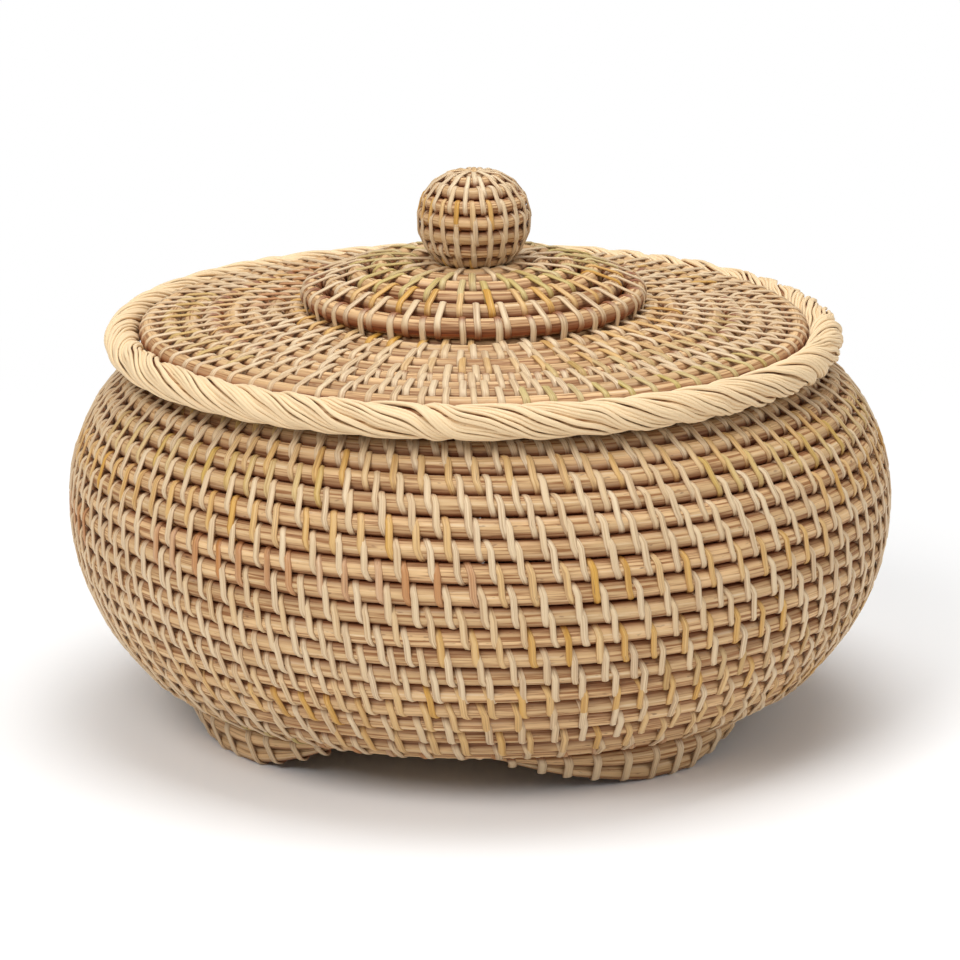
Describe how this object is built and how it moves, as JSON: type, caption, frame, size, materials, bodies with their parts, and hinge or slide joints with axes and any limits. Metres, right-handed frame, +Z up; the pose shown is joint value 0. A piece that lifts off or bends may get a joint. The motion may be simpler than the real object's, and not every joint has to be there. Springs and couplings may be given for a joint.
{
  "type": "wicker basket",
  "caption": "Round lidded basket coiled from rattan rods bound with split cane, on four low feet, with a flat lift-off lid and a coiled ball knob.",
  "frame": {"origin": "middle of the basket, on the surface its feet stand on", "axes": "+Z up along the basket's round axis; -Y is the front"},
  "size_m": [0.2984, 0.2984, 0.2014],
  "materials": {
    "rattan_rod": "matt peeled rattan with fine grain",
    "cane_strip": "satin split cane",
    "rim_cane": "satin twisted cane",
    "knob_wood": "plain turned softwood, hidden"
  },
  "bodies": {
    "basket": {"wall_coil_01": "rattan_rod", "wall_coil_02": "rattan_rod", "wall_coil_03": "rattan_rod", "wall_coil_04": "rattan_rod", "wall_coil_05": "rattan_rod", "wall_coil_06": "rattan_rod", "wall_coil_07": "rattan_rod", "wall_coil_08": "rattan_rod", "wall_coil_09": "rattan_rod", "wall_coil_10": "rattan_rod", "wall_coil_11": "rattan_rod", "wall_coil_12": "rattan_rod", "wall_coil_13": "rattan_rod", "wall_coil_14": "rattan_rod", "wall_coil_15": "rattan_rod", "wall_coil_16": "rattan_rod", "wall_coil_17": "rattan_rod", "wall_coil_18": "rattan_rod", "wall_coil_19": "rattan_rod", "wall_coil_20": "rattan_rod", "wall_coil_21": "rattan_rod", "mouth_binding": "cane_strip", "shoulder_binding": "cane_strip", "belly_binding": "cane_strip", "hip_binding": "cane_strip", "base_coils": "rattan_rod", "base_centre_plug": "rattan_rod", "base_binding": "cane_strip", "foot_1_upper_rod": "rattan_rod", "foot_1_lower_rod": "rattan_rod", "foot_1_binding": "cane_strip", "foot_2_upper_rod": "rattan_rod", "foot_2_lower_rod": "rattan_rod", "foot_2_binding": "cane_strip", "foot_3_upper_rod": "rattan_rod", "foot_3_lower_rod": "rattan_rod", "foot_3_binding": "cane_strip", "foot_4_upper_rod": "rattan_rod", "foot_4_lower_rod": "rattan_rod", "foot_4_binding": "cane_strip"},
    "lid": {"lid_rim_core": "rattan_rod", "lid_rim_wrap": "rim_cane", "lid_coils": "rattan_rod", "lid_binding": "cane_strip", "lid_locating_coil": "rattan_rod", "lid_locating_binding": "cane_strip", "disc_edge_coil": "rattan_rod", "disc_coils": "rattan_rod", "disc_binding": "cane_strip", "knob_core": "knob_wood", "neck_coil": "rattan_rod", "knob_coils": "rattan_rod", "knob_binding": "cane_strip"}
  },
  "joints": [
    {"name": "lid_lift", "type": "slide", "parent": "basket", "child": "lid", "axis": [0, 0, 1], "range_m": [0, 0.12]}
  ]
}
